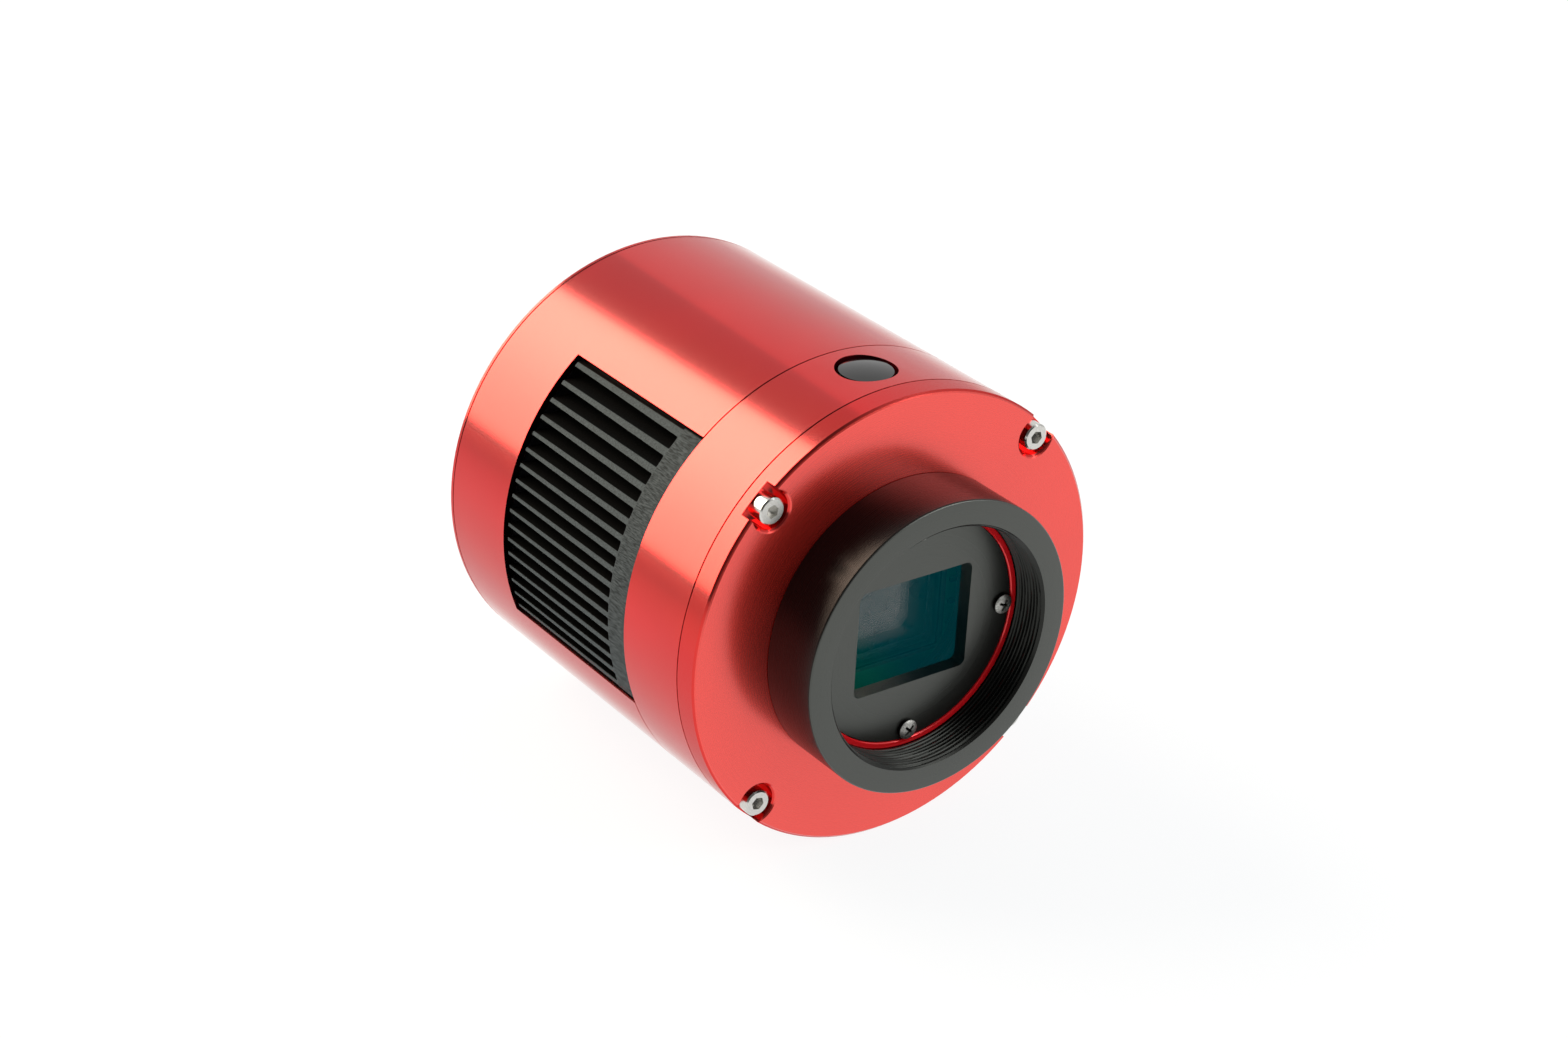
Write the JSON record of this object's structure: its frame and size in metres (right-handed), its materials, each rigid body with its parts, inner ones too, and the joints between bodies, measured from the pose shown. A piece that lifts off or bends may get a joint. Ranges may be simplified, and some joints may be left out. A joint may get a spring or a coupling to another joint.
{
  "type": "cooled astronomy camera",
  "caption": "Cylindrical cooled imaging camera with a threaded nose ring, a sealed window over the sensor, side fins and a rear fan.",
  "frame": {"origin": "centre of the front face of the T2 extender ring, on the optical axis", "axes": "-Y points towards the telescope along the optical axis and out of the T2 thread, +Y towards the fan, +Z towards the air port's plug"},
  "size_m": [0.078, 0.0843, 0.078],
  "materials": {
    "red_anodised": "satin red anodised aluminium",
    "black_anodised": "black anodised aluminium, turned",
    "cast_sink": "dark anodised cast aluminium, grainy",
    "stainless": "stainless steel screws and posts",
    "window_glass": "coated optical glass",
    "rubber_seal": "black rubber O-ring",
    "plug_plastic": "glossy black plastic",
    "desiccant": "white desiccant tablet",
    "ceramic": "white alumina ceramic",
    "package_ceramic": "brown-black ceramic package",
    "silicon": "polished silicon with a microlens sheen",
    "board_green": "solder-masked glass fibre board",
    "board_black": "black solder-masked board",
    "chip_black": "moulded epoxy packages",
    "copper": "bare copper",
    "enamel_copper": "enamelled copper wire",
    "thermal_pad": "grey silicone gap pad",
    "pellet": "bismuth telluride pellets",
    "foam": "black insulating foam",
    "wire_black": "black insulated wire",
    "flex": "amber polyimide flat cable",
    "socket_white": "ivory connector plastic",
    "brass_post": "plain brass",
    "socket_steel": "nickel-plated stamped steel",
    "insert_blue": "blue contact block",
    "insert_black": "black contact tongue",
    "jack_plastic": "black moulded jack",
    "can": "aluminium capacitor cans",
    "fan_plastic": "black glass-filled plastic",
    "magnet": "bonded ferrite magnet",
    "steel": "ground steel",
    "lamination": "stacked electrical steel"
  },
  "bodies": {
    "camera": {"board_sockets": "socket_white", "chamber_seal_ring": "rubber_seal", "cold_finger": "copper", "cooler_cold_plate": "ceramic", "cooler_hot_plate": "ceramic", "cooler_insulation": "foam", "cooler_leads": "wire_black", "cooler_lower_pellets": "pellet", "cooler_middle_plate": "ceramic", "cooler_upper_pellets": "pellet", "dc_jack_body": "jack_plastic", "dc_jack_pin": "steel", "desiccant_tablets": "desiccant", "fan_bearing_sleeve": "brass_post", "fan_circuit_board": "board_green", "fan_coils": "enamel_copper", "fan_frame": "fan_plastic", "fan_lead": "wire_black", "fan_screws": "stainless", "fan_stator": "lamination", "front_housing": "red_anodised", "front_plate": "red_anodised", "front_posts": "brass_post", "heat_sink": "cast_sink", "heat_sink_screws": "stainless", "heat_sink_seal_ring": "rubber_seal", "main_board": "board_black", "main_board_capacitors": "can", "main_board_chips": "chip_black", "plate_cap_screws": "stainless", "protective_window": "window_glass", "rear_cover": "red_anodised", "rear_cover_screws": "stainless", "rear_posts": "brass_post", "rear_shell": "red_anodised", "retainer_screws": "stainless", "sensor_board": "board_green", "sensor_board_chips": "chip_black", "sensor_board_posts": "brass_post", "sensor_board_screws": "stainless", "sensor_cover_glass": "window_glass", "sensor_die": "silicon", "sensor_package": "package_ceramic", "signal_flex_cable": "flex", "temperature_sensor": "wire_black", "thermal_pad": "thermal_pad", "usb2_inserts": "insert_black", "usb2_shells": "socket_steel", "usb3_insert": "insert_blue", "usb3_shell": "socket_steel", "window_retainer": "black_anodised", "window_seal_ring": "rubber_seal"},
    "extender_ring": {"t2_extender_ring": "black_anodised"},
    "plug": {"port_plug": "plug_plastic", "port_plug_seal": "rubber_seal"},
    "rotor": {"fan_rotor": "fan_plastic", "fan_shaft": "steel", "fan_magnet_ring": "magnet"}
  },
  "joints": [
    {"name": "fan_spin", "type": "hinge", "parent": "camera", "child": "rotor", "pos_m": [0, 0.0765, 0.005], "axis": [0, 1, 0], "continuous": true},
    {"name": "extender_ring_unscrews", "type": "slide", "parent": "camera", "child": "extender_ring", "axis": [0, -1, 0], "range_m": [0, 0.015]},
    {"name": "port_plug_unscrews", "type": "slide", "parent": "camera", "child": "plug", "axis": [0, 0, 1], "range_m": [0, 0.01]}
  ]
}
